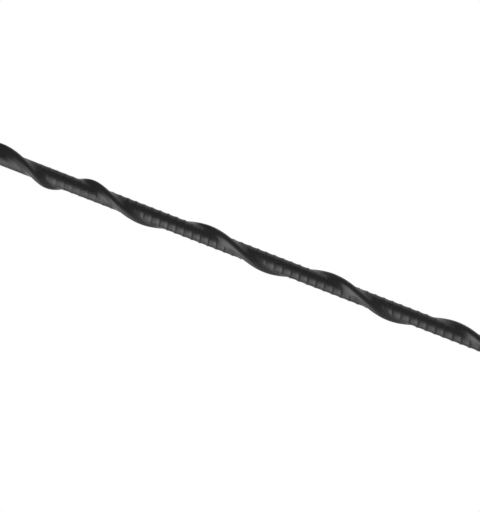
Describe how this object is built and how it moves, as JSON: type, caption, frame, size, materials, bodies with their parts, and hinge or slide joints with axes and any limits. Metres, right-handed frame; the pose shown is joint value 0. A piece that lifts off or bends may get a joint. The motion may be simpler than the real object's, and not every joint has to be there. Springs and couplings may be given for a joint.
{
  "type": "car antenna mast",
  "caption": "Slim black screw-in car antenna mast with a gripping boot, a tapering rod and a spiral wind fin moulded over a wound core, for radio reception.",
  "frame": {"origin": "centre of the seat face, where the mast's foot meets the antenna base and the stud begins", "axes": "+Z along the mast from the seat face to the tip; the fin's crest direction is counted from +X"},
  "size_m": [0.012, 0.012, 0.409],
  "materials": {
    "sheath_plastic": "satin",
    "ferrule_steel": "zinc plated",
    "glass_fibre": "resin gloss",
    "copper_wire": "enamelled",
    "solder": "bright"
  },
  "bodies": {
    "root": {"sheath": "sheath_plastic", "base_ferrule": "ferrule_steel", "core_rod": "glass_fibre", "radiator_winding": "copper_wire", "solder_ring": "solder"}
  },
  "joints": []
}
